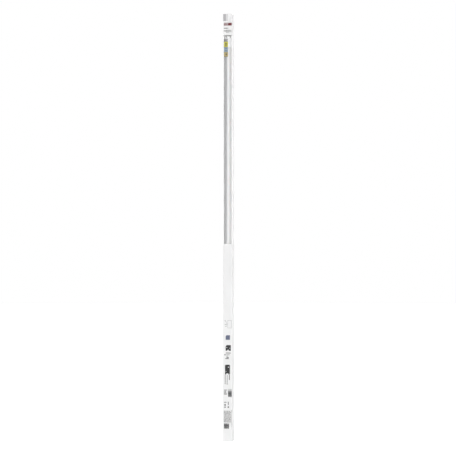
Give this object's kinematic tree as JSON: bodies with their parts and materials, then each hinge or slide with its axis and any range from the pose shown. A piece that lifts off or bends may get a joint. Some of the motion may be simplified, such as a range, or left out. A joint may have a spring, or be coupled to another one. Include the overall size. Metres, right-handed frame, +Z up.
{
  "type": "led light tube in window carton",
  "caption": "Long LED light tube with two-pin turning end caps, in a slim white paperboard carton with a window and an end insert that holds its starter.",
  "frame": {"origin": "middle of the carton's base, where it stands", "axes": "+Z up along the carton and the tube; -Y out of the window side; +X to the right seen from the window side"},
  "size_m": [0.028, 0.028, 1.28],
  "materials": {
    "white_paperboard": "satin",
    "grey_paperboard": "matte",
    "clear_film": "gloss",
    "starter_plastic": "satin",
    "contact_nickel": "polished",
    "fuse_glass": "gloss",
    "satin_aluminium": "satin",
    "opal_plastic": "satin",
    "cap_plastic": "satin",
    "screw_steel": "satin",
    "white_solder_mask": "satin",
    "led_package": "gloss",
    "thermal_tape": "matte",
    "driver_board": "satin",
    "clear_sleeve": "gloss",
    "ferrite": "matte",
    "winding_tape": "satin",
    "capacitor_sleeve": "satin",
    "film_capacitor": "satin",
    "chip_black": "matte",
    "varistor_blue": "satin",
    "resistor_body": "satin",
    "red_lead": "satin",
    "black_lead": "satin"
  },
  "bodies": {
    "carton": {"carton_front_panel": "white_paperboard", "carton_right_panel": "white_paperboard", "carton_left_panel": "white_paperboard", "carton_back_panel": "white_paperboard", "carton_glue_flap": "grey_paperboard", "window_film": "clear_film"},
    "tube": {"heat_sink_profile": "satin_aluminium", "diffuser": "opal_plastic", "led_board": "white_solder_mask", "led_strip": "led_package", "thermal_tape": "thermal_tape", "end_collar_top": "cap_plastic", "end_collar_bottom": "cap_plastic", "collar_screw_top_a": "screw_steel", "collar_screw_top_b": "screw_steel", "collar_screw_bottom_a": "screw_steel", "collar_screw_bottom_b": "screw_steel", "driver_board": "driver_board", "driver_insulation_sleeve": "clear_sleeve", "driver_choke": "ferrite", "driver_transformer_core": "ferrite", "driver_transformer_winding": "winding_tape", "driver_input_capacitor": "capacitor_sleeve", "driver_output_capacitor": "capacitor_sleeve", "driver_film_capacitor": "film_capacitor", "driver_rectifier": "chip_black", "driver_control_chip": "chip_black", "driver_varistor": "varistor_blue", "driver_fusible_resistor": "resistor_body", "supply_lead_live": "red_lead", "supply_lead_neutral": "black_lead", "led_lead_plus": "red_lead", "led_lead_minus": "black_lead"},
    "end_cap_top": {"end_cap_top_shell": "cap_plastic", "end_cap_top_pin_a": "contact_nickel", "end_cap_top_pin_b": "contact_nickel"},
    "end_cap_bottom": {"end_cap_bottom_shell": "cap_plastic", "end_cap_bottom_pin_a": "contact_nickel", "end_cap_bottom_pin_b": "contact_nickel"},
    "end_insert": {"insert_top_panel": "white_paperboard", "insert_left_leg": "grey_paperboard", "insert_right_leg": "grey_paperboard", "insert_bottom_shelf": "grey_paperboard", "insert_collar_shelf": "grey_paperboard", "starter_can": "starter_plastic", "starter_base": "starter_plastic", "starter_pin_a": "contact_nickel", "starter_pin_b": "contact_nickel", "starter_fuse": "fuse_glass"},
    "bottom_lid": {"bottom_lid_panel": "white_paperboard", "bottom_lid_tongue": "white_paperboard"},
    "dust_flap_left": {"dust_flap_left": "grey_paperboard"},
    "dust_flap_right": {"dust_flap_right": "grey_paperboard"}
  },
  "joints": [
    {"name": "tube_slide", "type": "slide", "parent": "carton", "child": "tube", "axis": [0, 0, 1], "range_m": [0, 1.25]},
    {"name": "insert_slide", "type": "slide", "parent": "tube", "child": "end_insert", "axis": [0, 0, 1], "range_m": [0, 0.1]},
    {"name": "end_cap_top_turn", "type": "hinge", "parent": "tube", "child": "end_cap_top", "pos_m": [0, 0, 1.2083], "axis": [0, 0, 1], "range_deg": [-65, 115]},
    {"name": "end_cap_bottom_turn", "type": "hinge", "parent": "tube", "child": "end_cap_bottom", "pos_m": [0, 0, 0.0089], "axis": [0, 0, 1], "range_deg": [-65, 115]},
    {"name": "bottom_lid_hinge", "type": "hinge", "parent": "carton", "child": "bottom_lid", "pos_m": [0, 0.01375, 0.00025], "axis": [1, 0, 0], "range_deg": [0, 110]},
    {"name": "dust_flap_left_hinge", "type": "hinge", "parent": "carton", "child": "dust_flap_left", "pos_m": [-0.0131, 0, 0.0009], "axis": [0, 1, 0], "range_deg": [0, 88]},
    {"name": "dust_flap_right_hinge", "type": "hinge", "parent": "carton", "child": "dust_flap_right", "pos_m": [0.0131, 0, 0.0009], "axis": [0, -1, 0], "range_deg": [0, 88]}
  ],
  "couplings": [
    {"joint": "dust_flap_left_hinge", "follows": "bottom_lid_hinge", "ratio": 0.8},
    {"joint": "dust_flap_right_hinge", "follows": "bottom_lid_hinge", "ratio": 0.8}
  ]
}
